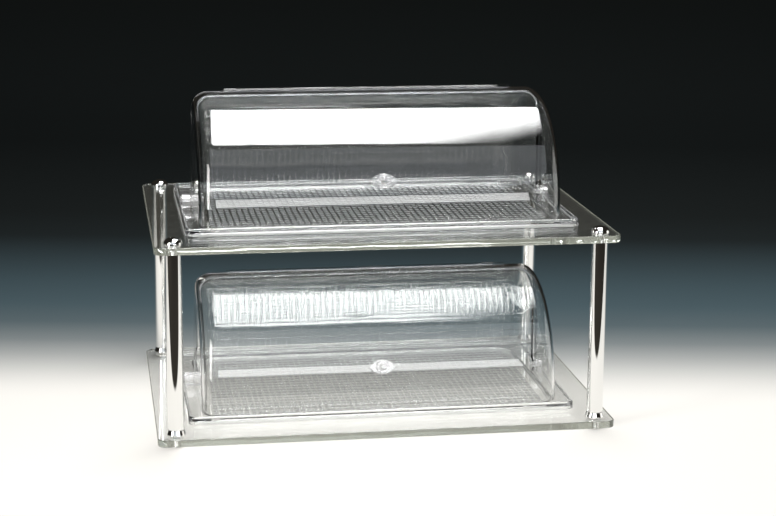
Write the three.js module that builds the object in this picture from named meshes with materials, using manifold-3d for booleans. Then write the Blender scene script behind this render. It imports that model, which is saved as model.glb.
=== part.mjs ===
// Two-tier roll top display stand, in millimetres, +Z up.
// Two glass plates are held apart by four chrome posts on tie bolts. Each plate carries a clear
// tray with a two-part roll top hood: the rear shell stays, the front shell rolls back over it.
// The origin is on the ground below the middle of the stand, with the front towards -Y.

import * as THREE from 'three';
import { mergeVertices } from 'three/addons/utils/BufferGeometryUtils.js';
import Module from 'manifold-3d';

const wasm = await Module();
wasm.setup();

// Clearances and cutting
const seatGap = 0.3;            // between two pieces that rest on each other
const boreClearance = 0.3;      // radial play of a round piece in its bore
const overrun = 5;              // how far a cutting tool passes its work

// Tray
const trayLength = 530;
const trayDepth = 325;
const trayHeight = 11;          // ground of the tray to the top of its edge bead
const trayCornerRadius = 20;
const trayWall = 3;
const trayBeadWidth = 4;
const trayBeadDrop = 3.5;       // bead top to the ledge that carries the hood
const traySkirtHeight = 10.5;   // the outer edge, from the bead's top down
const panEndInset = 25;         // the tray's end to the sunk pan
const panFrontInset = 21.5;     // the tray's long edge to the sunk pan
const panCornerRadius = 26;

// Plates
const plateDepth = 440;
const plateThickness = 10;
const plateCornerRadius = 12;
const plateChamfer = 0.8;
const tierGap = 247;            // clear height between the two plates

// Posts and the bolts that clamp the plates on them
const postSideInset = 25;       // post axis to the plate's end
const postFrontInset = 20;      // post axis to the plate's long edge
const trayPostPlay = 5;         // the tray's end to the collar of the post beside it
const postRadius = 11;
const postWall = 1.5;
const postEndBevel = 0.6;
const boltRadius = 5;
const footHeadRadius = 10;
const footHeadHeight = 2;
const footHeadBevel = 0.5;
const footWasherRadius = 11;
const footWasherHeight = 1;
const collarRadius = 13;
const collarHeight = 8.5;
const collarLowerBevel = 1.8;
const collarUpperBevel = 5.5;
const collarSpigotHeight = 8;
const bushHeight = 12;
const capRadius = 12.3;
const capRimHeight = 1.6;
const capDomeHeight = 8;
const capBoreDepth = 6;

// Hood
const hoodEndInset = 16.5;      // the tray's end to the hood's end at the pivots
const hoodFrontInset = 13.5;    // the tray's long edge to the hood
const hoodWall = 3;
const hoodEndDraft = 1.5;       // degrees that the ends lean in towards the rim
const hoodFillet = 22;
const nestGap = 1;              // play between the front shell and the rear shell
const pivotHeight = 19;         // above the ground of the tray
const frontShellEnd = 93;       // degrees round the pivot from the front
const rearShellStart = 85;
const lipEndInset = 48.5;       // the hood's end to the lip along its top edge
const lipThickness = 2.4;
const lipHeight = 3;

// Pivots at the hood's two ends
const pivotPinRadius = 3;
const pivotHeadRadius = 4.5;
const pivotHeadHeight = 1.5;
const pivotPinTail = 2;         // pin beyond the inner shell
const pivotBlockRadius = 6;
const pivotBlockPlay = 0.5;     // between the block and the rolling shell

// Knob on the front shell
const knobAngle = 18;           // degrees above the level of the pivot
const knobPlateLength = 38;
const knobPlateWidth = 20;
const knobPlateHeight = 2.4;
const knobPlateBevel = 0.8;
const knobRadius = 9;
const knobRimHeight = 3.4;
const knobRimRound = 1.2;
const knobBossRadius = 5;
const knobBossHeight = 6.5;
const knobBossRound = 1.6;
const knobSpigotRadius = 2.7;

// Facets
const roundSides = 20;
const smallSides = 16;
const shellSides = 48;
const cornerSteps = 4;
const quarterSteps = 4;

// Lengths and heights that follow from the sizes above
const panLength = trayLength - 2 * panEndInset;
const panDepth = trayDepth - 2 * panFrontInset;
const hoodHalf = trayLength / 2 - hoodEndInset;
const hoodRadius = trayDepth / 2 - hoodFrontInset;
const rearHalf = hoodHalf - hoodWall - nestGap;
const rearRadius = hoodRadius - hoodWall - nestGap;
const lipLength = 2 * (hoodHalf - lipEndInset);
const postX = trayLength / 2 + trayPostPlay + collarRadius;
const postY = plateDepth / 2 - postFrontInset;
const plateLength = 2 * (postX + postSideInset);
const washerFoot = footHeadHeight + seatGap;
const lowerPlateFoot = washerFoot + footWasherHeight + seatGap;
const lowerPlateTop = lowerPlateFoot + plateThickness;
const upperPlateFoot = lowerPlateTop + tierGap;
const upperPlateTop = upperPlateFoot + plateThickness;
const collarFoot = lowerPlateTop + seatGap;
const tubeFoot = collarFoot + collarHeight + seatGap;
const tubeTop = upperPlateFoot - seatGap;
const capFoot = upperPlateTop + seatGap;
const boltTop = capFoot + capBoreDepth - seatGap;
const boltBore = boltRadius + boreClearance;
const postBore = postRadius - postWall;
const plugRadius = postBore - boreClearance;
const ledgeHeight = trayHeight - trayBeadDrop;
const hoodDrop = pivotHeight - ledgeHeight - seatGap;   // pivot axis to the hood's lower edge
const pinBore = pivotPinRadius + boreClearance;

const radians = THREE.MathUtils.degToRad;

function solidOf(geometry) {
  const bare = geometry.clone();
  bare.deleteAttribute('normal');
  bare.deleteAttribute('uv');
  const merged = mergeVertices(bare);
  return new wasm.Manifold(new wasm.Mesh({
    numProp: 3,
    vertProperties: new Float32Array(merged.attributes.position.array),
    triVerts: new Uint32Array(merged.index.array),
  }));
}

function geometryOf(solid) {
  const mesh = solid.getMesh();
  const geometry = new THREE.BufferGeometry();
  geometry.setAttribute('position', new THREE.BufferAttribute(new Float32Array(mesh.vertProperties), 3));
  geometry.setIndex(new THREE.BufferAttribute(new Uint32Array(mesh.triVerts), 1));
  geometry.computeVertexNormals();
  return geometry;
}

// A solid turned about Z from [radius, height] pairs that run up the outside
function turned(pairs, sides) {
  const points = pairs.map(([radius, height]) => new THREE.Vector2(radius, height));
  return new THREE.LatheGeometry(points, sides).rotateX(Math.PI / 2);
}

// A ring about Z with a bore, given its outside as [radius, height] pairs from the foot up
function bored(bore, outside, sides) {
  const foot = outside[0][1];
  const top = outside[outside.length - 1][1];
  return turned([[bore, foot], ...outside, [bore, top], [bore, foot]], sides);
}

function roundedRectangle(length, depth, radius) {
  const x = length / 2 - radius;
  const y = depth / 2 - radius;
  const shape = new THREE.Shape();
  shape.absarc(x, y, radius, 0, Math.PI / 2);
  shape.absarc(-x, y, radius, Math.PI / 2, Math.PI);
  shape.absarc(-x, -y, radius, Math.PI, 1.5 * Math.PI);
  shape.absarc(x, -y, radius, 1.5 * Math.PI, 2 * Math.PI);
  shape.closePath();
  return shape;
}

function slab(shape, foot, height, steps = cornerSteps) {
  const geometry = new THREE.ExtrudeGeometry(shape, {
    depth: height, bevelEnabled: false, curveSegments: steps,
  });
  return geometry.translate(0, 0, foot);
}

// A slab whose two faces are chamfered all round
function chamferedSlab(shape, foot, height, chamfer, steps = cornerSteps) {
  const geometry = new THREE.ExtrudeGeometry(shape, {
    depth: height - 2 * chamfer,
    bevelEnabled: true,
    bevelThickness: chamfer,
    bevelSize: chamfer,
    bevelOffset: -chamfer,
    bevelSegments: 1,
    curveSegments: steps,
  });
  return geometry.translate(0, 0, foot + chamfer);
}

// Points of a quarter round in the (radius, height) plane, the first and the last included
function quarter(centreRadius, centreHeight, radius, startAngle, turn) {
  return Array.from({ length: quarterSteps + 1 }, (_, i) => {
    const angle = startAngle + turn * i / quarterSteps;
    return [centreRadius + radius * Math.cos(angle), centreHeight + radius * Math.sin(angle)];
  });
}

function plateGeometry(foot) {
  const shape = roundedRectangle(plateLength, plateDepth, plateCornerRadius);
  let plate = solidOf(chamferedSlab(shape, foot, plateThickness, plateChamfer));
  for (const [x, y] of postPlaces()) {
    const drill = new THREE.CylinderGeometry(boltBore, boltBore, plateThickness + 2 * overrun, roundSides);
    drill.rotateX(Math.PI / 2).translate(x, y, foot + plateThickness / 2);
    plate = plate.subtract(solidOf(drill));
  }
  return geometryOf(plate);
}

function postPlaces() {
  return [[-postX, -postY], [postX, -postY], [-postX, postY], [postX, postY]];
}

function tieBoltGeometry() {
  return turned([
    [0, 0],
    [footHeadRadius - footHeadBevel, 0],
    [footHeadRadius, footHeadBevel],
    [footHeadRadius, footHeadHeight],
    [boltRadius, footHeadHeight],
    [boltRadius, boltTop],
    [0, boltTop],
  ], smallSides);
}

function footWasherGeometry() {
  const top = washerFoot + footWasherHeight;
  return bored(boltBore, [[footWasherRadius, washerFoot], [footWasherRadius, top]], smallSides);
}

function collarGeometry() {
  const top = collarFoot + collarHeight;
  return bored(boltBore, [
    [collarRadius - collarLowerBevel, collarFoot],
    [collarRadius, collarFoot + collarLowerBevel],
    [collarRadius, top - collarUpperBevel],
    [postRadius, top],
    [plugRadius, top],
    [plugRadius, top + collarSpigotHeight],
  ], roundSides);
}

function tubeGeometry() {
  return bored(postBore, [
    [postRadius - postEndBevel, tubeFoot],
    [postRadius, tubeFoot + postEndBevel],
    [postRadius, tubeTop - postEndBevel],
    [postRadius - postEndBevel, tubeTop],
  ], roundSides);
}

function bushGeometry() {
  return bored(boltBore, [[plugRadius, tubeTop - bushHeight], [plugRadius, tubeTop]], smallSides);
}

// The dome is a quarter ellipse on a short upright rim
function capGeometry() {
  const dome = quarter(0, 0, 1, 0, Math.PI / 2).map(([across, up]) => [
    capRadius * across,
    capFoot + capRimHeight + capDomeHeight * up,
  ]);
  dome[dome.length - 1][0] = 0;
  return turned([
    [0, capFoot + capBoreDepth],
    [boltBore, capFoot + capBoreDepth],
    [boltBore, capFoot],
    [capRadius, capFoot],
    ...dome,
  ], roundSides);
}

function ring(length, depth, radius, inset, foot, height) {
  const outside = solidOf(slab(roundedRectangle(length, depth, radius), foot, height));
  const hole = roundedRectangle(length - 2 * inset, depth - 2 * inset, Math.max(radius - inset, inset));
  return outside.subtract(solidOf(slab(hole, foot - overrun, height + 2 * overrun)));
}

// The tray at the ground: a shallow pan, a ledge round it and an upstanding, turned-down edge
function trayGeometry() {
  const panOutside = roundedRectangle(
    panLength + 2 * trayWall, panDepth + 2 * trayWall, panCornerRadius + trayWall);
  const panInside = roundedRectangle(panLength, panDepth, panCornerRadius);
  const ledge = slab(
    roundedRectangle(trayLength, trayDepth, trayCornerRadius), ledgeHeight - trayWall, trayWall);
  const bead = ring(
    trayLength, trayDepth, trayCornerRadius, trayBeadWidth, trayHeight - traySkirtHeight, traySkirtHeight);
  const tray = solidOf(slab(panOutside, 0, ledgeHeight))
    .add(solidOf(ledge))
    .subtract(solidOf(slab(panInside, trayWall, trayHeight)))
    .add(bead);
  return geometryOf(tray);
}

// One hood shell as a full turn about X: a U of wall thickness with filleted corners, whose ends
// are shallow cones that lean in from the pivots to the rim.
function shellOfRevolution(half, radius) {
  const draft = radians(hoodEndDraft);
  const turn = Math.PI / 2 - draft;
  const roundAxis = radius - hoodFillet;
  const roundEnd = half - roundAxis * Math.tan(draft) - hoodFillet / Math.cos(draft);
  const inner = hoodFillet - hoodWall;
  const outerEye = half - pinBore * Math.tan(draft);
  const innerEye = outerEye - hoodWall / Math.cos(draft);
  const pairs = [
    [pinBore, -outerEye],
    ...quarter(roundAxis, -roundEnd, hoodFillet, -turn, turn),
    ...quarter(roundAxis, roundEnd, hoodFillet, 0, turn),
    [pinBore, outerEye],
    [pinBore, innerEye],
    ...quarter(roundAxis, roundEnd, inner, turn, -turn),
    ...quarter(roundAxis, -roundEnd, inner, 0, -turn),
    [pinBore, -innerEye],
    [pinBore, -outerEye],
  ];
  return solidOf(turned(pairs, shellSides).rotateY(Math.PI / 2));
}

// A prism along X from a shape drawn in the (Y, Z) plane
function prismAlongX(shape, start, length, steps) {
  return slab(shape, start, length, steps).rotateX(Math.PI / 2).rotateZ(Math.PI / 2);
}

// What a shell keeps of its full turn, looking along X with the pivot at the centre: everything
// between its radial edge and the level of the tray's ledge, and a round eye about the pin.
function frontSector(reach) {
  const edge = Math.PI - radians(frontShellEnd);
  const shape = new THREE.Shape();
  shape.moveTo(-reach, -hoodDrop);
  shape.lineTo(0, -hoodDrop);
  shape.absarc(0, 0, hoodDrop, -Math.PI / 2, edge);
  shape.lineTo(reach * Math.cos(edge), reach * Math.sin(edge));
  shape.lineTo(-reach, reach);
  shape.closePath();
  return shape;
}

function rearSector(reach) {
  const edge = Math.PI - radians(rearShellStart);
  const shape = new THREE.Shape();
  shape.moveTo(0, -hoodDrop);
  shape.lineTo(reach, -hoodDrop);
  shape.lineTo(reach, reach);
  shape.lineTo(reach * Math.cos(edge), reach * Math.sin(edge));
  shape.absarc(0, 0, hoodDrop, edge, 1.5 * Math.PI);
  shape.closePath();
  return shape;
}

function sectorOf(shell, sector, half) {
  const keep = prismAlongX(sector, -half - overrun, 2 * (half + overrun), smallSides);
  return shell.intersect(solidOf(keep));
}

// A frame on the front shell: X along the hood, Z out of its outer face at the knob
function atKnob(geometry) {
  const angle = radians(knobAngle);
  return geometry
    .rotateX(Math.PI / 2 - angle)
    .translate(0, -hoodRadius * Math.cos(angle), hoodRadius * Math.sin(angle));
}

function frontHoodGeometry() {
  const reach = hoodRadius + overrun;
  const shell = sectorOf(shellOfRevolution(hoodHalf, hoodRadius), frontSector(reach), hoodHalf);
  const lip = new THREE.BoxGeometry(lipLength, lipHeight + hoodWall / 2, lipThickness);
  lip.translate(0, -hoodRadius - (lipHeight - hoodWall / 2) / 2, -lipThickness / 2);
  lip.rotateX(-radians(frontShellEnd));
  const hole = new THREE.CylinderGeometry(
    knobSpigotRadius + boreClearance, knobSpigotRadius + boreClearance, 2 * overrun, smallSides);
  return geometryOf(shell.add(solidOf(lip)).subtract(solidOf(atKnob(hole.rotateX(Math.PI / 2)))));
}

function rearHoodGeometry() {
  const reach = hoodRadius + overrun;
  return geometryOf(sectorOf(shellOfRevolution(rearHalf, rearRadius), rearSector(reach), rearHalf));
}

// The block stands on the tray's ledge beside the hood, with its round top about the pin
function pivotBlockGeometry(side) {
  const start = hoodHalf + pivotBlockPlay;
  const length = trayLength / 2 - trayBeadWidth - pivotBlockPlay - start;
  const shape = new THREE.Shape();
  shape.moveTo(-pivotBlockRadius, -hoodDrop);
  shape.lineTo(pivotBlockRadius, -hoodDrop);
  shape.absarc(0, 0, pivotBlockRadius, 0, Math.PI);
  shape.closePath();
  const bore = new THREE.CylinderGeometry(pinBore, pinBore, length + 2 * overrun, smallSides);
  bore.rotateZ(Math.PI / 2).translate(side * (start + length / 2), 0, 0);
  const foot = side > 0 ? start : -start - length;
  return geometryOf(solidOf(prismAlongX(shape, foot, length, cornerSteps)).subtract(solidOf(bore)));
}

// The pin is pushed in from outside: its head rests on the block, its tail passes both shells
function pivotPinGeometry(side) {
  const seat = trayLength / 2 - trayBeadWidth - pivotBlockPlay + seatGap;
  const tail = rearHalf - hoodWall - pivotPinTail;
  const pin = turned([
    [0, tail],
    [pivotPinRadius, tail],
    [pivotPinRadius, seat],
    [pivotHeadRadius, seat],
    [pivotHeadRadius, seat + pivotHeadHeight],
    [0, seat + pivotHeadHeight],
  ], smallSides);
  return pin.rotateY(side * Math.PI / 2);
}

// The base plate of the knob has a pointed oval outline, made of two equal arcs
function knobPlateGeometry() {
  const halfLength = knobPlateLength / 2;
  const halfWidth = knobPlateWidth / 2;
  const arcRadius = (halfLength ** 2 + halfWidth ** 2) / (2 * halfWidth);
  const centre = arcRadius - halfWidth;
  const spread = Math.asin(halfLength / arcRadius);
  const shape = new THREE.Shape();
  shape.absarc(0, centre, arcRadius, -Math.PI / 2 - spread, -Math.PI / 2 + spread);
  shape.absarc(0, -centre, arcRadius, Math.PI / 2 - spread, Math.PI / 2 + spread);
  shape.closePath();
  const plate = chamferedSlab(shape, seatGap, knobPlateHeight, knobPlateBevel, smallSides / 2);
  const bore = new THREE.CylinderGeometry(
    knobSpigotRadius + boreClearance, knobSpigotRadius + boreClearance, 2 * overrun, smallSides);
  return atKnob(geometryOf(solidOf(plate).subtract(solidOf(bore.rotateX(Math.PI / 2)))));
}

function knobGeometry() {
  const foot = seatGap + knobPlateHeight + seatGap;
  const rim = foot + knobRimHeight;
  const top = rim + knobBossHeight;
  const rimRound = quarter(knobRadius - knobRimRound, rim - knobRimRound, knobRimRound, 0, Math.PI / 2);
  const bossRound = quarter(
    knobBossRadius - knobBossRound, top - knobBossRound, knobBossRound, 0, Math.PI / 2);
  return atKnob(turned([
    [0, seatGap - hoodWall],
    [knobSpigotRadius, seatGap - hoodWall],
    [knobSpigotRadius, foot],
    [knobRadius, foot],
    ...rimRound,
    [knobBossRadius, rim],
    ...bossRound,
    [0, top],
  ], smallSides));
}

function clearFinish(color, roughness, opacity) {
  return new THREE.MeshStandardMaterial({ color, roughness, metalness: 0, transparent: true, opacity });
}

const finishes = {
  glass: clearFinish(0xd3e0da, 0.03, 0.4),
  tray: clearFinish(0xe6e9ea, 0.12, 0.5),
  hood: clearFinish(0xeef1f2, 0.06, 0.3),
  fitting: clearFinish(0xf2f3f5, 0.1, 0.7),
  chrome: new THREE.MeshStandardMaterial({ color: 0xd6d8da, roughness: 0.06, metalness: 1 }),
  steel: new THREE.MeshStandardMaterial({ color: 0xb4b6b8, roughness: 0.3, metalness: 1 }),
  nylon: new THREE.MeshStandardMaterial({ color: 0xd9dad2, roughness: 0.5, metalness: 0 }),
};

const stand = new THREE.Group();

function addPiece(parent, name, geometry, finish, x = 0, y = 0, z = 0) {
  const mesh = new THREE.Mesh(geometry, finishes[finish].clone());
  mesh.name = name;
  mesh.position.set(x, y, z);
  parent.add(mesh);
}

addPiece(stand, 'lower_plate', plateGeometry(lowerPlateFoot), 'glass');
addPiece(stand, 'upper_plate', plateGeometry(upperPlateFoot), 'glass');

const postNames = ['front_left', 'front_right', 'rear_left', 'rear_right'];
postPlaces().forEach(([x, y], i) => {
  const place = postNames[i];
  addPiece(stand, `tie_bolt_${place}`, tieBoltGeometry(), 'steel', x, y);
  addPiece(stand, `foot_washer_${place}`, footWasherGeometry(), 'nylon', x, y);
  addPiece(stand, `base_collar_${place}`, collarGeometry(), 'chrome', x, y);
  addPiece(stand, `post_tube_${place}`, tubeGeometry(), 'chrome', x, y);
  addPiece(stand, `post_bush_${place}`, bushGeometry(), 'nylon', x, y);
  addPiece(stand, `cap_nut_${place}`, capGeometry(), 'chrome', x, y);
});

for (const [tier, plateTop] of [['lower', lowerPlateTop], ['upper', upperPlateTop]]) {
  const cabinet = new THREE.Group();
  cabinet.position.z = plateTop + seatGap;
  stand.add(cabinet);
  addPiece(cabinet, `${tier}_tray`, trayGeometry(), 'tray');
  const hood = new THREE.Group();
  hood.position.z = pivotHeight;
  cabinet.add(hood);
  addPiece(hood, `${tier}_rear_hood`, rearHoodGeometry(), 'hood');
  addPiece(hood, `${tier}_front_hood`, frontHoodGeometry(), 'hood');
  addPiece(hood, `${tier}_knob_plate`, knobPlateGeometry(), 'fitting');
  addPiece(hood, `${tier}_knob`, knobGeometry(), 'fitting');
  for (const [end, side] of [['left', -1], ['right', 1]]) {
    addPiece(hood, `${tier}_pivot_block_${end}`, pivotBlockGeometry(side), 'fitting');
    addPiece(hood, `${tier}_pivot_pin_${end}`, pivotPinGeometry(side), 'fitting');
  }
}

export default stand;
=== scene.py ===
# %% [markdown]
# # A two-tier roll top display stand
#
# Two glass plates stand on four chrome posts. Each plate carries a shallow clear tray under a
# clear hood in two shells: the rear shell stays, and the front shell rolls back over it.
# Nearly everything is transparent, so this lesson is about clean surfaces, honest refraction
# and lights that draw the shapes by their reflections. The frame is loaded first, because each
# visible surface takes its size and place from it.

# %% Load the frame
import math

import bmesh
import bpy
import numpy as np
from mathutils import Matrix, Vector


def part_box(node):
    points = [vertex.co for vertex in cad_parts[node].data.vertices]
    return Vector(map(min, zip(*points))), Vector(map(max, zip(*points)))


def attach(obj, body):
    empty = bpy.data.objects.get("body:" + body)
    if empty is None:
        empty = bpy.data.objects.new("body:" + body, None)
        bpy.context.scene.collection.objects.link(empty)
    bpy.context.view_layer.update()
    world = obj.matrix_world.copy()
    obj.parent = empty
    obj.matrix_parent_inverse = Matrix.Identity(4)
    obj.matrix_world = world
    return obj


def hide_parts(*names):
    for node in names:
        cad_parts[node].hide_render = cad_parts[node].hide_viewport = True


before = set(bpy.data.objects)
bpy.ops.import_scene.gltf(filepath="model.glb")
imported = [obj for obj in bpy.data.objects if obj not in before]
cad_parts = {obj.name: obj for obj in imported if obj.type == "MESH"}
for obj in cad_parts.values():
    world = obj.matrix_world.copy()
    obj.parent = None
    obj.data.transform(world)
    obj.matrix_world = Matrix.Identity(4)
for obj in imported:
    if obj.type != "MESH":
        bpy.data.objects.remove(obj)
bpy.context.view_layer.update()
scene = bpy.context.scene
MM = 0.001


def extent(node):
    """The lowest and the highest corner of a node of the frame, as numpy arrays in metres."""
    low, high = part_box(node)
    return np.array(low), np.array(high)


def in_mm(values):
    """Metres as a list of millimetres, for the lines that the cells print."""
    return np.round(np.array(values) / MM, 1).tolist()


# %% [markdown]
# ## The camera
#
# The camera is a little to the left of the stand and looks down on it with a long lens. A
# turn round the stand, an elevation, a distance and the lens fix the picture, and a small roll
# tilts it. A camera could be aimed by eye, but angles read from the edges of the plates are
# surer.

# %% Camera
view_azimuth = math.radians(-9.31)
view_elevation = math.radians(13.17)
view_roll = math.radians(0.45)
view_distance = 2.658
view_aim = Vector((0.0, 0.0, 0.1336))
aim_right, aim_up = 0.0292, 0.0632
picture_width, focal_pixels = 776, 1863

back = Vector((
    math.sin(view_azimuth) * math.cos(view_elevation),
    -math.cos(view_azimuth) * math.cos(view_elevation),
    math.sin(view_elevation),
))
right = Vector((math.cos(view_azimuth), math.sin(view_azimuth), 0.0))
upward = back.cross(right)
camera = bpy.data.objects.new("camera", bpy.data.cameras.new("camera"))
scene.collection.objects.link(camera)
camera.data.sensor_width = 36.0
camera.data.lens = camera.data.sensor_width * focal_pixels / picture_width
turn = Matrix((right, upward, back)).transposed() @ Matrix.Rotation(view_roll, 3, "Z")
place = view_aim + back * view_distance + right * aim_right + upward * aim_up
camera.matrix_world = Matrix.Translation(place) @ turn.to_4x4()
camera.data.clip_start, camera.data.clip_end = 0.1, 60.0
scene.camera = camera
print("lens in mm:", round(camera.data.lens, 1), "camera height:", round(place.z, 3))

# %% [markdown]
# ## Shader sums
#
# A shader is a graph of nodes, and sums in it are nodes too. The class below wraps a socket,
# so that `1 - mask * 2` adds its Math nodes by itself. Every other node comes from one method.

# %% Shader helpers
class Wire:
    """A number in a shader. Sums of wires and plain numbers add Math nodes to the same tree."""

    def __init__(self, finish, socket):
        self.finish, self.socket = finish, socket

    def math(self, operation, first, second=0.0):
        """One Math node on two numbers or wires."""
        return self.finish.add("ShaderNodeMath", {"operation": operation}, {0: first, 1: second})

    def __add__(self, other):
        return self.math("ADD", self, other)

    def __sub__(self, other):
        return self.math("SUBTRACT", self, other)

    def __rsub__(self, other):
        return self.math("SUBTRACT", other, self)

    def __mul__(self, other):
        return self.math("MULTIPLY", self, other)

    def __gt__(self, other):
        return self.math("GREATER_THAN", self, other)

    def __abs__(self):
        return self.math("ABSOLUTE", self)

    __radd__ = __add__
    __rmul__ = __mul__


class Finish:
    """A material with its node tree. add() makes any node and returns a wire from one output."""

    def __init__(self, name):
        self.material = bpy.data.materials.new(name)
        self.material.use_nodes = True
        self.tree = self.material.node_tree
        self.tree.nodes.clear()
        self.end = self.tree.nodes.new("ShaderNodeOutputMaterial")

    def add(self, kind, settings=None, sockets=None, output=0, stops=None):
        """A node of a kind: its settings and a ramp's stops first, then its sockets' values or
        the wires that lead to them. The wire that comes back is from the named output."""
        node = self.tree.nodes.new(kind)
        for name, value in (settings or {}).items():
            setattr(node, name, value)
        if stops:
            ramp = node.color_ramp.elements
            while len(ramp) < len(stops):
                ramp.new(1.0)
            for element, (position, colour) in zip(ramp, stops):
                element.position, element.color = position, (*colour, 1.0)
        for name, value in (sockets or {}).items():
            if isinstance(value, Wire):
                self.tree.links.new(value.socket, node.inputs[name])
            else:
                node.inputs[name].default_value = value
        return Wire(self, node.outputs[output])

    def part_of(self, vector, axis):
        """One coordinate of a vector: X, Y or Z."""
        return self.add("ShaderNodeSeparateXYZ", None, {0: vector}, output=axis)

    def larger(self, first, second):
        """The larger of two wires."""
        return first.math("MAXIMUM", first, second)

    def place(self):
        """The point of the surface in the piece's own coordinates, which are the frame's."""
        return self.add("ShaderNodeTexCoord", output="Object")

    def noise(self, scale, detail=2.0, vector=None):
        """Smooth noise from 0 to 1; scale is in waves per metre."""
        return self.add("ShaderNodeTexNoise", None, {
            "Vector": vector or self.place(), "Scale": scale, "Detail": detail})

    def stretched(self, scale):
        """The place stretched by three factors, for a grain that runs along an axis."""
        return self.add("ShaderNodeMapping", None, {"Vector": self.place(), "Scale": scale})

    def bump(self, height, strength, distance):
        """A normal tilted by the slopes of a height, which is 1 for a distance in metres."""
        return self.add("ShaderNodeBump", None, {
            "Height": height, "Strength": strength, "Distance": distance})

    def surface(self, shader):
        """Makes a shader the material's surface, and gives the finished material."""
        self.tree.links.new(shader.socket, self.end.inputs["Surface"])
        return self.material

    def volume(self, shader):
        """Makes a shader what fills the stock."""
        self.tree.links.new(shader.socket, self.end.inputs["Volume"])


# %% [markdown]
# ## The clear finishes
#
# The plates are glass: clear across their 10 mm, green-grey along their length, which an
# absorbing volume gives by itself. The hoods, trays and fittings are moulded clear plastic. It
# bends light a little less than glass, is never quite flat, and carries faint rubbing marks.
# A thin mix of transparency and gloss would be quicker, but it has no edges, and edges are what
# one sees of a clear thing. Where the stock is ground or etched it is partly a dull white skin,
# so a second shader is mixed in by a share that depends on the place.

# %% Clear finishes
def ground_rim(finish, node, depth):
    """1 where a place is less than a depth inside the node's four sides, and 0 within."""
    half_x, half_y = extent(node)[1][:2] - depth
    across, deep = (abs(finish.part_of(finish.place(), axis)) for axis in "XY")
    return finish.larger(across > half_x, deep > half_y)


def clear_finish(name, tint, ior, wave_height, haze, transmission=1.0, stain=None, density=1.0,
                 matt=None, matt_colour=None):
    """Refracting clear stock: slow moulding waves in the normal, and rub marks in the gloss.
    Less transmission makes it milky, a stain is what the stock's depth leaves of white, matt
    gives the share of each place that is ground or etched, and matt_colour its colour."""
    finish = Finish(name)
    waves = finish.noise(14.0, 1.0)
    rubs = finish.noise(1.0, 3.0, finish.stretched((60.0, 260.0, 260.0)))
    skin = finish.add("ShaderNodeBsdfPrincipled", None, {
        "Base Color": (*tint, 1.0),
        "Transmission Weight": transmission,
        "IOR": ior,
        "Roughness": rubs * haze,
        "Normal": finish.bump(waves, 0.4, wave_height),
    })
    if matt:
        grind = finish.noise(700.0, 3.0)
        ground = finish.add("ShaderNodeBsdfPrincipled", None, {
            "Base Color": matt_colour(finish),
            "Roughness": 0.35 + 0.2 * grind,
            "Normal": finish.bump(grind, 0.1, 0.1 * MM),
        })
        skin = finish.add("ShaderNodeMixShader", None, {0: matt(finish), 1: skin, 2: ground})
    finish.surface(skin)
    if stain:
        finish.volume(finish.add("ShaderNodeVolumeAbsorption", None, {
            "Color": (*stain, 1.0), "Density": density}))
    return finish.material


def plate_matt(finish):
    """The share 0.2 at the ground rims, plus a thin film of fine marks all over."""
    return 0.2 * ground_rim(finish, "lower_plate", 0.4 * MM) + 0.022 * finish.noise(60.0, 3.0)


def plate_matt_colour(finish):
    """The greenish white of ground glass."""
    return 0.80, 0.81, 0.70, 1.0


plate_glass = clear_finish(
    "plate_glass", tint=(0.985, 0.995, 0.99), ior=1.52, wave_height=0.2 * MM, haze=0.01,
    stain=(0.55, 0.62, 0.54), density=1.6, matt=plate_matt, matt_colour=plate_matt_colour)
hood_plastic = clear_finish(
    "hood_plastic", tint=(0.985, 0.99, 0.985), ior=1.5, wave_height=0.5 * MM, haze=0.02,
    stain=(0.82, 0.84, 0.94), density=3.0)
fitting_plastic = clear_finish(
    "fitting_plastic", tint=(0.96, 0.96, 0.965), ior=1.5, wave_height=0.3 * MM, haze=0.10,
    transmission=0.88)
print("clear finishes:", [finish.name for finish in (plate_glass, hood_plastic, fitting_plastic)])

# %% [markdown]
# ## The metals and the nylon
#
# Chrome plate is a mirror with a trace of polishing marks round the post. Turned steel has
# rings of fine tool marks. Both are one function, because only the strength and the stretch of
# the marks differ. Nylon is milky and dull.

# %% Metals and nylon
def metal_finish(name, colour, roughness, marks, grain, mark_height):
    """Bare metal with fine marks: grain stretches the noise, marks drives the gloss and mark_height
    the bump.
    """
    finish = Finish(name)
    lines = finish.noise(1.0, 3.0, finish.stretched(grain))
    cloud = finish.noise(30.0, 2.0)
    shader = finish.add("ShaderNodeBsdfPrincipled", None, {
        "Base Color": (*colour, 1.0),
        "Metallic": 1.0,
        "Roughness": roughness + marks * lines * cloud,
        "Normal": finish.bump(lines, 0.06, mark_height),
    })
    return finish.surface(shader)


chrome = metal_finish(
    "chrome", (0.86, 0.86, 0.85), roughness=0.02, marks=0.08, grain=(300.0, 300.0, 1500.0),
    mark_height=0.01 * MM)
bolt_steel = metal_finish(
    "bolt_steel", (0.62, 0.62, 0.61), roughness=0.16, marks=0.25, grain=(900.0, 900.0, 3000.0),
    mark_height=0.05 * MM)


def nylon_finish():
    """Natural nylon: a cloudy milky white, a fine dull grain, and light that enters a little."""
    finish = Finish("nylon")
    grain = finish.noise(900.0, 3.0)
    cloud = finish.add("ShaderNodeValToRGB", None, {0: finish.noise(60.0)}, stops=[
        (0.3, (0.62, 0.62, 0.58)), (0.7, (0.72, 0.72, 0.69))])
    return finish.surface(finish.add("ShaderNodeBsdfPrincipled", None, {
        "Base Color": cloud,
        "Roughness": 0.42 + 0.2 * grain,
        "Normal": finish.bump(grain, 0.2, 0.1 * MM),
        "Subsurface Weight": 0.1,
        "Subsurface Scale": 2 * MM,
    }))


nylon = nylon_finish()
print("metals and nylon:", [material.name for material in (chrome, bolt_steel, nylon)])

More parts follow.
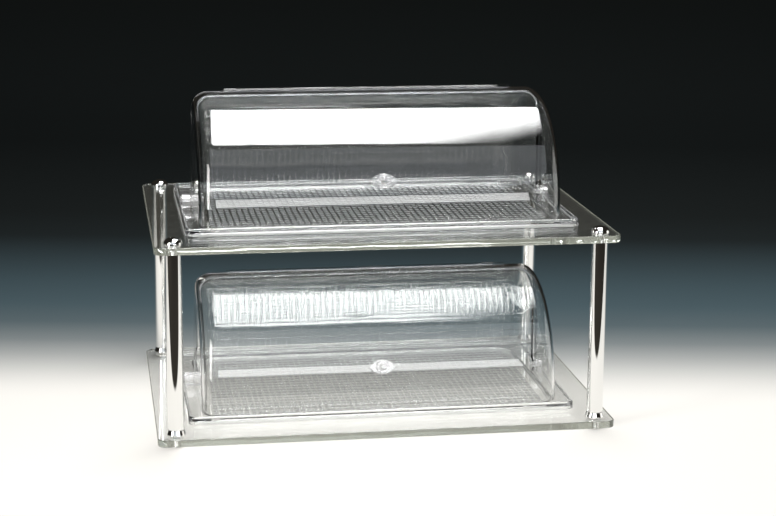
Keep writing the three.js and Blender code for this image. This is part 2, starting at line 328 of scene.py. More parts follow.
# %% [markdown]
# ## Surfaces from arrays
#
# A grid of points is one numpy array, and its faces follow from the array's shape. A solid could
# be put together from Blender's own primitives and cut, but in clear stock every stray edge
# shows, so each surface is worked out whole. Closed pieces are merged where their grids meet,
# and edges sharper than an angle stay crisp.

# %% Mesh helpers
def grid_faces(rows, columns, wrap_rows=False, wrap_columns=False):
    """Quads of a rows x columns grid, as corner numbers: place (i, j) is number i columns + j."""
    i = np.arange(rows if wrap_rows else rows - 1)[:, None]
    j = np.arange(columns if wrap_columns else columns - 1)[None, :]
    down, across = (i + 1) % rows, (j + 1) % columns
    corners = (i * columns + j, i * columns + across, down * columns + across, down * columns + j)
    return np.stack(np.broadcast_arrays(*corners), -1).reshape(-1, 4)


def make_piece(name, parts, material, clear=False, levels=(), ease=0.0, crease=40.0):
    """Joins (points, faces) arrays into one closed object. Points that coincide are merged, the
    open rims at the given levels are filled flat, and edges sharper than the crease angle are
    rounded by ease or, without it, stay crisp."""
    points = np.concatenate([part[0].reshape(-1, 3) for part in parts])
    faces, first = [], 0
    for part_points, part_faces in parts:
        faces.extend((part_faces + first).tolist())
        first += part_points.reshape(-1, 3).shape[0]
    mesh = bpy.data.meshes.new(name)
    mesh.from_pydata(points.tolist(), [], faces)
    work = bmesh.new()
    work.from_mesh(mesh)
    bmesh.ops.remove_doubles(work, verts=work.verts, dist=0.003 * MM)
    for level in levels:
        rim = [e for e in work.edges if e.is_boundary and all(
            abs(v.co.z - level) < 0.01 * MM for v in e.verts)]
        bmesh.ops.triangle_fill(work, edges=rim, use_beauty=True)
    bmesh.ops.recalc_face_normals(work, faces=work.faces)
    open_edges = sum(e.is_boundary or not e.is_manifold for e in work.edges)
    if ease:
        sharp = [e for e in work.edges if len(e.link_faces) == 2 and (
            e.calc_face_angle() > math.radians(crease))]
        bmesh.ops.bevel(
            work, geom=sharp, offset=ease, offset_type="OFFSET", segments=3, profile=0.5,
            affect="EDGES", clamp_overlap=True)
    work.to_mesh(mesh)
    work.free()
    mesh.shade_smooth()
    if not ease:
        mesh.set_sharp_from_angle(angle=math.radians(crease))
    piece = bpy.data.objects.new(name, mesh)
    piece.data.materials.append(material)
    scene.collection.objects.link(piece)
    weighted = piece.modifiers.new("weighted_normals", "WEIGHTED_NORMAL")
    weighted.weight, weighted.keep_sharp = 60, not ease
    if clear:
        piece.visible_shadow = False
        piece.visible_diffuse = False
    if open_edges:
        print("open edges on", name, open_edges)
    return piece


def fit(piece, node, body):
    """Puts a piece in place of its node: the node is hidden and the piece rides on the node's body.
    """
    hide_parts(node)
    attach(piece, body)


def rounded(corners, radius, steps=5, closed=False):
    """A polyline with each corner turned into an arc of that radius, or less on short sides."""
    corners = np.array(corners, float)
    radii = np.broadcast_to(radius, len(corners))
    line = []
    for i, (corner, wanted) in enumerate(zip(corners, radii)):
        if wanted == 0 or (not closed and i in (0, len(corners) - 1)):
            line.append(corner[None])
            continue
        before, after = corners[i - 1] - corner, corners[(i + 1) % len(corners)] - corner
        lengths = np.hypot(*before), np.hypot(*after)
        before, after = before / lengths[0], after / lengths[1]
        half = math.acos(np.clip(before @ after, -1, 1)) / 2
        reach = min(wanted / math.tan(half), 0.49 * min(lengths))
        centre = corner + (before + after) / np.hypot(*(before + after)) * reach / math.cos(half)
        start, end = corner + before * reach - centre, corner + after * reach - centre
        share = np.linspace(0, 1, steps + 1)[:, None]
        chord = start * (1 - share) + end * share
        arc_radius = np.hypot(*start)
        line.append(centre + chord / np.hypot(chord[:, 0], chord[:, 1])[:, None] * arc_radius)
    return np.concatenate(line)


def lathe(profile, sides=96, closed=False):
    """A (radius, height) profile turned about Z: (r cos a, r sin a, h) for a full turn of a."""
    profile = np.array(profile, float)
    angle = np.linspace(0, 2 * np.pi, sides, endpoint=False)
    radius, height = profile[:, :1], profile[:, 1:]
    points = np.stack([
        radius * np.cos(angle), radius * np.sin(angle), height + 0 * angle], -1)
    return points, grid_faces(len(profile), sides, wrap_rows=closed, wrap_columns=True)


def moved(part, turn=np.eye(3), shift=(0, 0, 0)):
    """The part turned by a matrix and then shifted."""
    points, faces = part
    return points @ np.array(turn).T + np.array(shift), faces


# %% [markdown]
# ## The posts
#
# Each post is a chrome tube on a bevelled collar. A tie bolt runs through it from the head
# under the lower plate, which is the foot, to the domed cap nut on the upper plate. All of
# it is turned work, so each piece is a profile carried once round the post's axis. Small
# arcs at every edge catch the light, as turned and plated edges do.

# %% Posts
bolt_bore = 5.3 * MM
post_places = "front_left", "front_right", "rear_left", "rear_right"


def middle_of(node):
    """The middle of a node's box."""
    low, high = extent(node)
    return (low + high) / 2


def turned_size(node):
    """The radius of a turned node, and its lowest and highest level."""
    low, high = extent(node)
    return (high[0] - low[0]) / 2, low[2], high[2]


def post_profiles(place):
    """One post's six turned pieces, from the foot up: each has its (radius, height) profile,
    whether that closes on itself, its finish and its slot."""
    head_radius, foot, bolt_top = turned_size(f"tie_bolt_{place}")
    washer_radius, washer_low, washer_top = turned_size(f"foot_washer_{place}")
    collar_radius, collar_low, spigot_top = turned_size(f"base_collar_{place}")
    tube_radius, tube_low, tube_top = turned_size(f"post_tube_{place}")
    _, bush_low, bush_top = turned_size(f"post_bush_{place}")
    cap_radius, cap_low, cap_top = turned_size(f"cap_nut_{place}")
    shank, bore = 5.0 * MM, bolt_bore
    tube_wall, plug_play = 1.5 * MM, 0.3 * MM
    tube_bore, plug = tube_radius - tube_wall, tube_radius - tube_wall - plug_play
    head_top = washer_low - 0.3 * MM
    shoulder = tube_low - 0.3 * MM
    cone_foot = shoulder - 5.5 * MM
    cap_rim = cap_low + 1.6 * MM
    pocket = cap_low + 6.0 * MM

    bolt = rounded([
        (0, foot), (head_radius, foot), (head_radius, head_top),
        (shank, head_top), (shank, bolt_top), (0, bolt_top),
    ], np.array([0, 0.7, 0.3, 0.1, 0.8, 0]) * MM)
    washer = rounded([
        (bore, washer_low), (washer_radius, washer_low),
        (washer_radius, washer_top), (bore, washer_top),
    ], 0.25 * MM, closed=True)
    collar = rounded([
        (bore, collar_low), (collar_radius - 1.8 * MM, collar_low),
        (collar_radius, collar_low + 1.8 * MM), (collar_radius, cone_foot),
        (tube_radius, shoulder), (plug, shoulder), (plug, spigot_top), (bore, spigot_top),
    ], np.array([0.1, 0.5, 0.5, 0.5, 0.3, 0.1, 0.3, 0.1]) * MM, closed=True)
    tube = rounded([
        (tube_bore, tube_low), (tube_radius, tube_low),
        (tube_radius, tube_top), (tube_bore, tube_top),
    ], np.array([0.1, 0.6, 0.6, 0.1]) * MM, closed=True)
    bush = rounded([
        (bore, bush_low), (plug, bush_low), (plug, bush_top), (bore, bush_top),
    ], 0.3 * MM, closed=True)
    dome_angle = np.linspace(0, np.pi / 2, 17)
    dome = np.stack([
        cap_radius * np.cos(dome_angle), cap_rim + (cap_top - cap_rim) * np.sin(dome_angle)], 1)
    dome[-1, 0] = 0
    cap = np.concatenate([
        [(0, pocket), (bore, pocket), (bore, cap_low), (cap_radius - 0.4 * MM, cap_low),
         (cap_radius, cap_low + 0.4 * MM)], dome])
    return {
        "tie_bolt": (bolt, False, bolt_steel, "bolt_steel"),
        "foot_washer": (washer, True, nylon, "nylon"),
        "base_collar": (collar, True, chrome, "chrome"),
        "post_tube": (tube, True, chrome, "chrome"),
        "post_bush": (bush, True, nylon, "nylon"),
        "cap_nut": (cap, False, chrome, "chrome"),
    }


for place_name in post_places:
    at = middle_of(f"tie_bolt_{place_name}") * (1, 1, 0)
    profiles = post_profiles(place_name)
    for kind, (profile, closed, material, slot_name) in profiles.items():
        piece = make_piece(
            f"{kind}_{place_name}_turned", [moved(lathe(profile, 96, closed), shift=at)], material)
        fit(piece, f"{kind}_{place_name}", "stand")
    print(place_name, "post axis in mm:", in_mm(at[:2]), "pieces:", len(profiles))

# %% [markdown]
# ## The plates
#
# A plate is a rounded rectangle with polished edges, so its rim is a small profile carried
# round the outline. The same outline function later shapes the trays: a point on the side of
# a rectangle is pulled onto the corner's arc wherever it lies past the arc's centre. The bolt
# holes are short tubes, and the two faces are filled between the rim and the holes.

# %% Rounded outlines
def once_round(x, y):
    """Places on the edge of a unit square, once round without a repeat, from those along it."""
    south = np.stack([x[:-1], -np.ones(len(x) - 1)], 1)
    east = np.stack([np.ones(len(y) - 1), y[:-1]], 1)
    north = np.stack([x[:0:-1], np.ones(len(x) - 1)], 1)
    west = np.stack([-np.ones(len(y) - 1), y[:0:-1]], 1)
    return np.concatenate([south, east, north, west])


def outline(square, half_x, half_y, radius, height):
    """Rings on rounded rectangles: for each profile entry, the square's edge is scaled to the
    half sizes, and what lies past a corner's centre is pulled to the corner's radius."""
    half_x, half_y, radius, height = (
        np.atleast_1d(np.array(v, float))[:, None] for v in (half_x, half_y, radius, height))
    half_x, half_y, radius, height = np.broadcast_arrays(half_x, half_y, radius, height)
    x, y = square[:, 0] * half_x, square[:, 1] * half_y
    centre_x = np.sign(x) * (half_x - radius)
    centre_y = np.sign(y) * (half_y - radius)
    off_x, off_y = x - centre_x, y - centre_y
    corner = (off_x * np.sign(x) > 0) & (off_y * np.sign(y) > 0)
    pull = radius / np.maximum(np.hypot(off_x, off_y), 1e-12)
    x = np.where(corner, centre_x + off_x * pull, x)
    y = np.where(corner, centre_y + off_y * pull, y)
    return np.stack([x, y, height + 0 * x], -1)


def corner_square(columns, rows, half_x, half_y, radius, corner_steps):
    """The square's edge with extra places along the stretches that become corner arcs."""
    def side(half, count):
        inner = 1 - radius / half
        straight = np.linspace(-inner, inner, count)
        bend = inner + (1 - inner) * np.tan(np.linspace(0, np.pi / 4, corner_steps + 1))[1:]
        return np.concatenate([-bend[::-1], straight, bend])
    return once_round(side(half_x, columns), side(half_y, rows))


# %% Plates
def plate_piece(node):
    """Rim, bolt holes and the two flat faces of a plate."""
    low, high = extent(node)
    half = (high - low)[:2] / 2
    polish, corner = 1.2 * MM, 12 * MM
    square = corner_square(2, 2, *half, corner, 8)
    bend = np.linspace(0, np.pi / 2, 6)
    inset = polish * (1 - np.sin(bend))
    rise = polish * (1 - np.cos(bend))
    insets = np.concatenate([inset, inset[::-1]])
    heights = np.concatenate([low[2] + rise, high[2] - rise[::-1]])
    rim = outline(square, half[0] - insets, half[1] - insets, corner - insets, heights)
    parts = [(rim, grid_faces(len(insets), len(square), wrap_columns=True))]
    for place_name in post_places:
        wall = [(bolt_bore, low[2]), (bolt_bore, high[2])]
        parts.append(moved(lathe(wall, 32), shift=middle_of(f"post_tube_{place_name}") * (1, 1, 0)))
    return make_piece(
        f"{node}_glass", parts, plate_glass, clear=True, levels=(low[2], high[2]))


for node in ("lower_plate", "upper_plate"):
    fit(plate_piece(node), node, "stand")
    print(node, "in mm:", in_mm(extent(node)[1] - extent(node)[0]))

# %% [markdown]
# ## The trays
#
# A tray is a thin plastic moulding: a pan whose floor is moulded in small raised pads, a ledge
# that carries the hood, a bead round it and a skirt that turns down to the plate. Its wall is
# one section line carried round the rounded rectangle. A bump in the shader could draw the
# pads, but light bends in their slopes, so they are raised in the mesh. Their tops are lightly
# etched and given a dark grey that is painted shade, which shows them as grey dashes in front
# of a dark ground and of a white one, and the skirt's outer face is ground.

# %% The trays' finish
pad_pitch = np.array([8.5, 12.4]) * MM
pad_count = np.array([54, 21])
pan_floor = 3.0 * MM
etched_reach = 0.33, 0.25
# The pads' grey is painted shade that darkens the etched tops into dashes.
skirt_white, pad_painted_shade_grey = (0.90, 0.91, 0.90, 1), (0.22, 0.23, 0.23, 1)


def on_pads(finish):
    """1 on the tops of the pads and 0 elsewhere: a place is on a top where its share of the
    pitch, fract(x / pitch), is near a half both ways, within the field and above the plate."""
    x, y, z = (finish.part_of(finish.place(), axis) for axis in "XYZ")
    tops = 1.0
    for along, pitch, count, reach in zip((x, y), pad_pitch, pad_count, etched_reach):
        share = finish.add("ShaderNodeMath", {"operation": "FRACT"}, {
            0: along * (1 / pitch) + count / 2})
        tops = (1 - (abs(share - 0.5) > reach)) * (1 - (abs(along) > pitch * count / 2)) * tops
    lower, upper = (extent(f"{tier}_tray")[0][2] + pan_floor / 2 for tier in ("lower", "upper"))
    return tops * ((z > lower) - (z > upper - 20 * MM) + (z > upper))


def tray_matt(finish):
    """The share 0.6 on the ground skirt and 0.5 on the etched tops of the pads."""
    return 0.6 * ground_rim(finish, "lower_tray", 0.1 * MM) + 0.5 * on_pads(finish)


def tray_matt_colour(finish):
    """White on the ground skirt, and on the pads a grey that is painted shade."""
    return finish.add("ShaderNodeMix", {"data_type": "RGBA"}, {
        0: on_pads(finish), 6: skirt_white, 7: pad_painted_shade_grey}, output=2)


tray_plastic = clear_finish(
    "tray_plastic", tint=(0.985, 0.99, 0.985), ior=1.5, wave_height=0.4 * MM, haze=0.03,
    stain=(0.84, 0.86, 0.92), density=3.0, matt=tray_matt, matt_colour=tray_matt_colour)
print("pads on a tray:", pad_count.prod(), "over in mm:", in_mm(pad_pitch * pad_count))

# %% Trays
pad_height = 0.7 * MM
pad_shares = np.array([[0.0, 0.15, 0.21, 0.79, 0.85], [0.0, 0.20, 0.265, 0.735, 0.80]])
pad_rises = np.array([0.0, 0.0, 1.0, 1.0, 0.0])
rim_columns, rim_rows = 282, 166


def tray_outline_at(inset):
    """Half length, half depth and corner radius of the tray at an inset from its outer edge."""
    stations = np.array([0, 8, 21, 24, 40]) * MM
    half_x = np.interp(inset, stations, np.array([265, 257, 243, 240, 224]) * MM)
    half_y = np.interp(inset, stations, np.array([162.5, 154.5, 144, 141, 125]) * MM)
    radius = np.interp(inset, stations, np.array([9, 6, 29, 26, 10]) * MM)
    return half_x, half_y, radius


def pad_line(pitch, count, shares):
    """Places across a row of pads, and how high each stands: five places a pad, at the middle
    and the edge of the groove, at the two ends of the pad's flat top and at the next groove."""
    places = (np.arange(count)[:, None] + shares).ravel()
    rises = np.tile(pad_rises, count)
    return (np.append(places, count) - count / 2) * pitch, np.append(rises, 0.0)


def tray_floor(ground):
    """A rectangle of pads: the height is the product of the rise along x and the rise along y,
    so it is flat on each pad, zero in the grooves and a slope between."""
    (x, rise_x), (y, rise_y) = (pad_line(*line) for line in zip(pad_pitch, pad_count, pad_shares))
    place_x, place_y = np.meshgrid(x, y)
    height = ground + pan_floor + pad_height * rise_x[None, :] * rise_y[:, None]
    return np.stack([place_x, place_y, height], -1), grid_faces(len(y), len(x))


def tray_piece(tier):
    """The pads, and the wall's section line carried round the outline: pairs of an inset from
    the outer edge and a height, from the floor out over ledge, bead and skirt and back below.
    The flat floor round the pads and the flat underside are filled at their levels."""
    ground = extent(f"{tier}_tray")[0][2]
    section = rounded(np.array([
        (27.0, 3.0), (24.2, 3.0), (23.6, 7.5), (4.1, 7.5), (3.7, 11.0), (0.3, 11.0), (0.0, 0.5),
        (2.6, 0.5), (3.2, 4.5), (20.6, 4.5), (21.2, 0.0), (27.0, 0.0)]) * MM,
        np.array([0, 2.4, 1.2, 1.0, 1.6, 1.8, 0.7, 0.7, 1.2, 1.0, 1.2, 0]) * MM)
    square = once_round(
        np.linspace(-1, 1, rim_columns + 1), np.linspace(-1, 1, rim_rows + 1))
    half_x, half_y, radius = tray_outline_at(section[:, 0])
    wall = outline(square, half_x, half_y, radius, ground + section[:, 1])
    return make_piece(
        f"{tier}_tray_moulding",
        [tray_floor(ground), (wall, grid_faces(len(section), len(square), wrap_columns=True))],
        tray_plastic, clear=True, levels=(ground, ground + pan_floor))


for tier in ("lower", "upper"):
    tray = tray_piece(tier)
    fit(tray, f"{tier}_tray", f"{tier}_cabinet")
    print(tray.name, "faces:", len(tray.data.polygons))

# %% [markdown]
# ## The hoods
#
# Each hood is two shells of one form: a straight length and two upright ends joined by wide
# fillets, all turned about the pivot line. The rear shell is smaller by one wall and a running
# gap. A point on a shell has a place along its profile and an angle from the front. The sheet
# is open below the ledge's level and at its radial edge, and at each end it narrows to a round
# eye for the pivot pin. A second sheet one wall further in, and strips between the two, close
# it. Solidify would do the same, but here the inner fillet stays true and the eye exact.

# %% Shell sheets
hood_radius = 149 * MM
hood_wall = 3.0 * MM
hood_fillet = 22.0 * MM
end_draft = math.radians(1.5)
pin_bore = 3.3 * MM
eye_radius = 11.2 * MM
spigot_bore = 3.0 * MM
knob_angle = math.radians(18)
lip_half, lip_height, lip_thickness = 200 * MM, 3.0 * MM, 2.4 * MM
window_half, window_angle = 14 * MM, math.radians(5.5)


def end_place(half, across, depth=0.0):
    """How far out the end wall, or its face at a depth, lies at a distance from the pivot line."""
    return half - across * math.tan(end_draft) - depth / math.cos(end_draft)


def shell_profile(half, radius):
    """Places and outward directions (along, across) from one eye over the length to the other:
    an end that leans in by the draft, a round that turns from the end's direction into the
    length's, the straight length, and the mirror image of the first two."""
    round_axis = radius - hood_fillet
    round_end = end_place(half, round_axis, hood_fillet)
    bend = np.linspace(end_draft, np.pi / 2, 17)
    climb = np.linspace(eye_radius, round_axis + hood_fillet * math.sin(end_draft), 12)[:-1]
    flat = np.append(np.linspace(-round_end, -lip_half, 4)[1:-1], np.linspace(-lip_half, 0, 25))
    lean = np.full_like(climb, end_draft)
    left = np.concatenate([
        np.stack([-end_place(half, climb), climb, -np.cos(lean), np.sin(lean)], 1),
        np.stack([
            -round_end - hood_fillet * np.cos(bend), round_axis + hood_fillet * np.sin(bend),
            -np.cos(bend), np.sin(bend)], 1),
        np.stack([flat, radius + 0 * flat, 0 * flat, 1 + 0 * flat], 1)])
    mirrored = left[-2::-1] * np.array([-1, 1, -1, 1])
    return np.concatenate([left, mirrored])


def about_pivot(pivot, along, angle, radius):
    """The point at an angle above the front, at a radius from the pivot line."""
    along, angle, radius = np.broadcast_arrays(along, angle, radius)
    return np.stack([along, -radius * np.cos(angle), pivot + radius * np.sin(angle)], -1)


def two_sheets(profile, pivot, first, last, share):
    """The outer and the inner sheet: the profile at each angle from the first edge to the last.
    With them come the angles of their places, and how far out and high their rims lie."""
    sheets, angles, rims = [], [], []
    for depth in (0, hood_wall):
        along = profile[:, 0] - depth * profile[:, 2]
        across = profile[:, 1] - depth * profile[:, 3]
        turn = first(across)[:, None] + (last(across) - first(across))[:, None] * share
        sheets.append(about_pivot(pivot, along[:, None], turn, across[:, None]))
        angles.append(turn)
        rims.append((along[-1], across[-1]))
    return sheets, angles, rims


# %% [markdown]
# ## The knob's bore and the lip
#
# The front shell has two things that the rear shell lacks: a bore for the knob's spigot, and a
# lip along its upper edge. A boolean cut is the usual way to a bore, but it leaves ragged faces
# that show in clear stock. So the grid is left open round the knob, and rings lead from that
# square window to the round bore. The lip is the last strip of the outer sheet, raised.

# %% Bore and lip
def knob_window(profile, angles, radius, pivot):
    """The rows and columns of a window in the grid round the knob, and the rings that fill it.
    A ring point is a window point pulled towards the knob's axis, in the end onto the bore."""
    off_knob = np.abs(angles[0][len(profile) // 2] - knob_angle)
    r0, r1 = np.flatnonzero(np.abs(profile[:, 0]) < window_half)[[0, -1]]
    c0, c1 = np.flatnonzero(off_knob < window_angle)[[0, -1]]
    loop = [(r, c0) for r in range(r0, r1)] + [(r1, c) for c in range(c0, c1)]
    loop += [(r, c1) for r in range(r1, r0, -1)] + [(r0, c) for c in range(c1, c0, -1)]
    loop = np.array(loop)
    share = np.linspace(0, 1, 5)[:, None]
    rings = []
    for depth, turn in zip((0, hood_wall), angles):
        reach = radius - depth
        along = profile[loop[:, 0], 0]
        arc = (turn[loop[:, 0], loop[:, 1]] - knob_angle) * reach
        pull = spigot_bore / np.hypot(along, arc) * (1 - share) + share
        rings.append(about_pivot(pivot, along * pull, knob_angle + arc * pull / reach, reach))
    bore = np.stack([rings[0][0], rings[1][0]])
    parts = [(ring, grid_faces(*ring.shape[:2], wrap_columns=True)) for ring in (*rings, bore)]
    return slice(r0, r1), slice(c0, c1), parts


def edge_lip(profile, sheet, turn, radius, pivot):
    """The rows that the lip takes, and the lip: the last strip of the sheet raised to the lip's
    height, and the four walls between the strip and its raised copy."""
    rows = np.flatnonzero(np.abs(profile[:, 0]) <= lip_half + 1e-6)
    taken = slice(rows[0], rows[-1] + 1)
    base = sheet[taken, -2:]
    raised = about_pivot(pivot, base[..., 0], turn[taken, -2:], radius + lip_height)
    parts = [(raised, grid_faces(*raised.shape[:2]))]
    for foot, head in ((base[:, 0], raised[:, 0]), (base[:, 1], raised[:, 1]),
                       (base[0], raised[0]), (base[-1], raised[-1])):
        side = np.stack([foot, head])
        parts.append((side, grid_faces(*side.shape[:2])))
    return slice(rows[0], rows[-1]), parts


# %% [markdown]
# ## The whole shells
#
# At each end the two sheets narrow to an eye that goes round the pivot pin. Beyond the sheets'
# edges the eye goes on alone, so its circle takes the sheets' own angles first and fills up the
# rest of the turn. All parts are listed here and merged when the piece is made.

# %% Whole shells
def eyes(pivot, rims, seam):
    """The round eye at each end: flat rings from the bore out to the sheets' rims, the bore's
    wall, and a strip round the part of the eye that no sheet reaches."""
    behind = np.linspace(seam[-1], seam[0] + 2 * np.pi, 26)
    circle = np.concatenate([seam, behind[1:-1]])
    parts = []
    for side in (-1, 1):
        bores, arcs = [], []
        for along, across in rims:
            neck = along + (across - pin_bore) * math.tan(end_draft)
            eye = np.stack([
                about_pivot(pivot, side * neck, circle, pin_bore),
                about_pivot(pivot, side * along, circle, across)])
            parts.append((eye, grid_faces(*eye.shape[:2], wrap_columns=True)))
            bores.append(eye[0])
            arcs.append(about_pivot(pivot, side * along, behind, across))
        parts.append((np.stack(bores), grid_faces(2, len(circle), wrap_columns=True)))
        parts.append((np.stack(arcs), grid_faces(2, len(behind))))
    return parts


def shell_parts(half, radius, pivot, first, last, share, front=False):
    """Both sheets of a shell, the strips at its edges, and its eyes. first and last give the
    angles of its two edges at a given radius, and share places the columns between them. A
    front shell also has the knob's window and the lip."""
    profile = shell_profile(half, radius)
    sheets, angles, rims = two_sheets(profile, pivot, first, last, share)
    rows, columns = sheets[0].shape[:2]
    outer, inner = np.ones((2, rows - 1, columns - 1), bool)
    parts = []
    if front:
        window_rows, window_columns, parts = knob_window(profile, angles, radius, pivot)
        lip_rows, lip = edge_lip(profile, sheets[0], angles[0], radius, pivot)
        outer[window_rows, window_columns] = inner[window_rows, window_columns] = False
        outer[lip_rows, -1] = False
        parts += lip
    for sheet, kept in zip(sheets, (outer, inner)):
        parts.append((sheet, grid_faces(rows, columns)[kept.ravel()]))
    for column in (0, -1):
        strip = np.stack([sheet[:, column] for sheet in sheets])
        parts.append((strip, grid_faces(*strip.shape[:2])))
    return parts + eyes(pivot, rims, angles[0][0])


# %% [markdown]
# ## Two shells a tier
#
# The front shell reaches from below the front to just past the top, and the rear shell from
# just before the top to below the rear, so they overlap by 8 degrees when the hood is shut. The
# upper edges are radial. The lower ones stay level with the ledge, so there the angle is the
# one whose sine is the eye's radius over the radius.

# %% Hoods
front_end = math.radians(93)
rear_start = math.radians(85)
nest_step = 4.0 * MM
edge_ease = 0.9 * MM


def below(radius):
    """The angle under the front, or past the rear, at which a shell meets the ledge's level."""
    return np.arcsin(np.clip(eye_radius / radius, -1, 1))


def front_foot(radius):
    """The front shell starts below the front, at the ledge's level."""
    return -below(radius)


def front_edge(radius):
    """The front shell ends at one angle at every radius, just past the top."""
    return front_end + 0 * radius


def rear_edge(radius):
    """The rear shell starts at one angle at every radius, just before the top."""
    return rear_start + 0 * radius


def rear_foot(radius):
    """The rear shell ends past the rear, at the ledge's level."""
    return np.pi + below(radius)


lip_share = lip_thickness / hood_radius / (front_end + below(hood_radius))
front_share = np.append(np.linspace(0, 1 - lip_share, 66), 1)
rear_share = np.linspace(0, 1, 66)
for tier in ("lower", "upper"):
    low, high = extent(f"{tier}_front_hood")
    pivot, half = low[2] + eye_radius, high[0]
    front = make_piece(
        f"{tier}_front_hood_shell",
        shell_parts(half, hood_radius, pivot, front_foot, front_edge, front_share, front=True),
        hood_plastic, clear=True, ease=edge_ease)
    fit(front, f"{tier}_front_hood", f"{tier}_roll_top")
    rear = make_piece(
        f"{tier}_rear_hood_shell",
        shell_parts(half - nest_step, hood_radius - nest_step, pivot, rear_edge, rear_foot,
                    rear_share),
        hood_plastic, clear=True, ease=edge_ease)
    fit(rear, f"{tier}_rear_hood", f"{tier}_cabinet")
    print(tier, "pivot height in mm:", in_mm(pivot), "faces:", len(front.data.polygons))

# %% [markdown]
# ## Pivots and knobs
#
# A block beside each end of the hood carries the pivot pin, and a knob on a pointed oval plate
# lifts the front shell. They are thick clear mouldings with eased edges. Blocks and plates are
# one function: an outline round a bore, carried along its axis, with rings drawn in at both
# ends for the rounding.

# %% Fittings
def bored_prism(shape, bore, start, end, ease, steps=5):
    """Rings from the bore over one face, the side and the other face back to the bore. A ring
    is the outline drawn in along its own normals, by 1 - sin of the rounding's angle."""
    shape = np.array(shape, float)
    ahead = np.roll(shape, -1, 0) - np.roll(shape, 1, 0)
    inward = np.stack([-ahead[:, 1], ahead[:, 0]], 1) / np.hypot(*ahead.T)[:, None]
    circle = shape / np.hypot(*shape.T)[:, None] * bore
    bend = np.linspace(0, np.pi / 2, steps)
    over, under = ease * (1 - np.sin(bend)), ease * (1 - np.cos(bend))
    rings = [(circle, start)]
    rings += [(shape + inward * inset, start + rise) for inset, rise in zip(over, under)]
    rings += [(shape + inward * inset, end - drop) for inset, drop in zip(under, over)]
    rings += [(circle, end)]
    points = np.stack([
        np.concatenate([ring, np.full((len(ring), 1), height)], 1) for ring, height in rings])
    return points, grid_faces(*points.shape[:2], wrap_rows=True, wrap_columns=True)


# The plate is where two arcs cross. The knob's and the pin's pairs are a radius and a height over
# the shell or a distance from the stand's middle, the block's a depth and a height, all in mm.
knob_plate_half = np.array([19.0, 10.0]) * MM
arc_radius = (knob_plate_half @ knob_plate_half) / (2 * knob_plate_half[1])
arc_centre = arc_radius - knob_plate_half[1]
around = np.linspace(0, 2 * np.pi, 96, endpoint=False)
oval_reach = np.sqrt(arc_radius ** 2 - (arc_centre * np.cos(around)) ** 2)
oval_reach = oval_reach - arc_centre * np.abs(np.sin(around))
pointed_oval = np.stack([oval_reach * np.cos(around), oval_reach * np.sin(around)], 1)
knob_profile = rounded(np.array([
    (0, -2.7), (2.7, -2.7), (2.7, 3.0), (9.0, 3.0), (9.0, 6.4), (5.2, 6.4), (4.8, 12.9),
    (0, 12.9)]) * MM, np.array([0, 0.6, 0.2, 0.6, 1.4, 0.6, 1.8, 0]) * MM)
block_shape = rounded(np.array([
    (6, -11.2), (6, 0), (6, 6), (0, 6), (-6, 6), (-6, 0), (-6, -11.2), (0, -11.2)]) * MM,
    np.array([0.8, 0, 5.9, 0, 5.9, 0, 0.8, 0]) * MM, steps=10, closed=True)
pin_profile = rounded(np.array([
    (0, 239.5), (3.0, 239.5), (3.0, 260.8), (4.5, 260.8), (4.5, 262.3), (0, 262.3)]) * MM,
    np.array([0, 0.8, 0.1, 0.3, 0.8, 0]) * MM)

for tier in ("lower", "upper"):
    pivot = extent(f"{tier}_front_hood")[0][2] + eye_radius
    out = np.array([0, -math.cos(knob_angle), math.sin(knob_angle)])
    to_knob = np.stack([[1, 0, 0], np.cross(out, [1, 0, 0]), out], 1)
    at_knob = np.array([0, 0, pivot]) + out * hood_radius
    knob_plate = make_piece(
        f"{tier}_knob_plate_moulding",
        [moved(bored_prism(pointed_oval, spigot_bore, 0.3 * MM, 2.7 * MM, ease=0.8 * MM),
               to_knob, at_knob)], fitting_plastic, clear=True)
    fit(knob_plate, f"{tier}_knob_plate", f"{tier}_roll_top")
    knob = make_piece(
        f"{tier}_knob_moulding", [moved(lathe(knob_profile, 72), to_knob, at_knob)],
        fitting_plastic, clear=True)
    fit(knob, f"{tier}_knob", f"{tier}_roll_top")
    for side_name, side in (("left", -1), ("right", 1)):
        end_turn = np.array([[0, 0, side], [side, 0, 0], [0, 1, 0]])
        block = make_piece(
            f"{tier}_pivot_block_{side_name}_moulding",
            [moved(bored_prism(block_shape, pin_bore, 249.0 * MM, 260.5 * MM, ease=0.7 * MM),
                   end_turn, (0, 0, pivot))], fitting_plastic, clear=True)
        fit(block, f"{tier}_pivot_block_{side_name}", f"{tier}_cabinet")
        pin = make_piece(
            f"{tier}_pivot_pin_{side_name}_moulding",
            [moved(lathe(pin_profile, 48), end_turn, (0, 0, pivot))], fitting_plastic, clear=True)
        fit(pin, f"{tier}_pivot_pin_{side_name}", f"{tier}_cabinet")
    print(tier, "knob centre in mm:", in_mm(at_knob))

# %% [markdown]
# ## The lights, the sheet and the surroundings
#
# The stand is set on a graded paper sheet: white under it, slate behind it and nearly black
# further back. The grade is partly the paper's own and partly painted shade, for the light that
# falls off behind the stand, and far back the black is lifted as painted light where the lamps
# hardly reach. Close in front the sheet is painted the room's dark, a painted shade that the
# posts mirror as their black stripe. A bank light hangs over the stand and draws the wide white
# band along each hood; its right end fades. A narrow strip in front draws the pale line lower
# on the hoods, cards stand left and right for the posts' bright sides, and a wide weak light
# fills the front. One pale colour over the whole floor would be plainer, but clear things look
# like what is behind them. The grade is a formula with three tones in it. A line of sight
# crosses many clear faces, so a ray may bend up to 32 times.

# %% Sheet
sheet_near, sheet_far = -0.8, 6.2
